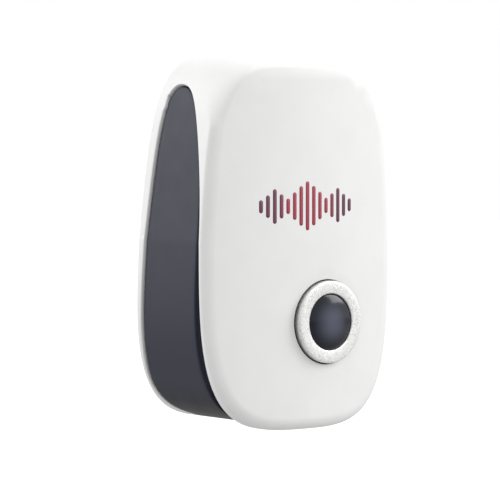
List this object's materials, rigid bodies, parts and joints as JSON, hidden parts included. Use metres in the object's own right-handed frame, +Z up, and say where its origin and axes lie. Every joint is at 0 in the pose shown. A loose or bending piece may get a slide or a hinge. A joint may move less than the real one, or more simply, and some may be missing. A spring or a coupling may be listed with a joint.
{
  "type": "plug-in ultrasonic pest repeller",
  "caption": "Plug-in ultrasonic pest repeller: white rounded case with a dark belt, a silver ring round a smoked press-to-light lens, flat mains blades behind.",
  "frame": {"origin": "centre of the plug base's flat wall face, midway between the blades", "axes": "+Z up the case, +Y out of the wall face into the wall, so the lens faces -Y; +X to the right seen from the front"},
  "size_m": [0.056, 0.054, 0.088],
  "materials": {
    "white_shell": "satin, moulded",
    "slate_belt": "satin, moulded",
    "silver_ring": "fine-grained matt silver coat",
    "smoked_lens": "polished, smoked blue-black",
    "blade_brass": "stamped, lightly brushed",
    "screw_steel": "zinc plated",
    "board_laminate": "green solder mask",
    "black_moulding": "moulded",
    "capacitor_sleeve": "heat-shrink sleeve",
    "film_box": "boxed film",
    "resistor_coat": "dipped coating",
    "blue_lamp": "clear tinted epoxy",
    "disc_brass": "thin rolled disc",
    "piezo_ceramic": "fired ceramic with a silver coat",
    "foam": "closed-cell foam",
    "label_film": "blank film label",
    "red_insulation": "wire insulation",
    "black_insulation": "wire insulation"
  },
  "bodies": {
    "housing": {"back_cover": "white_shell", "bleed_resistor": "resistor_coat", "board_screw_1": "screw_steel", "board_screw_2": "screw_steel", "bridge_rectifier": "black_moulding", "choke": "black_moulding", "circuit_board": "board_laminate", "control_chip": "black_moulding", "cover_screw_1": "screw_steel", "cover_screw_2": "screw_steel", "cover_screw_3": "screw_steel", "cover_screw_4": "screw_steel", "drive_transistor_1": "black_moulding", "drive_transistor_2": "black_moulding", "film_capacitor": "film_box", "front_cover": "white_shell", "fuse_resistor": "resistor_coat", "light_ring": "silver_ring", "live_wire": "red_insulation", "neutral_wire": "black_insulation", "night_light_1": "blue_lamp", "night_light_2": "blue_lamp", "piezo_ceramic": "piezo_ceramic", "piezo_cup": "black_moulding", "piezo_gasket": "foam", "piezo_plate": "disc_brass", "piezo_wire_1": "red_insulation", "piezo_wire_2": "black_insulation", "plug_base": "white_shell", "plug_blade_left": "blade_brass", "plug_blade_right": "blade_brass", "rating_label": "label_film", "side_frame": "slate_belt", "smoothing_capacitor": "capacitor_sleeve", "switch_body": "black_moulding"},
    "lens": {"lens_button": "smoked_lens"},
    "plunger": {"switch_plunger": "black_moulding"}
  },
  "joints": [
    {"name": "lens_press", "type": "slide", "parent": "housing", "child": "lens", "axis": [-0.0492, 0.9988, 0], "range_m": [0, 0.0008], "stiffness_N_per_m": 1500},
    {"name": "plunger_press", "type": "slide", "parent": "housing", "child": "plunger", "axis": [0, 1, 0], "range_m": [0, 0.0008]}
  ],
  "couplings": [
    {"joint": "plunger_press", "follows": "lens_press", "ratio": 1}
  ]
}
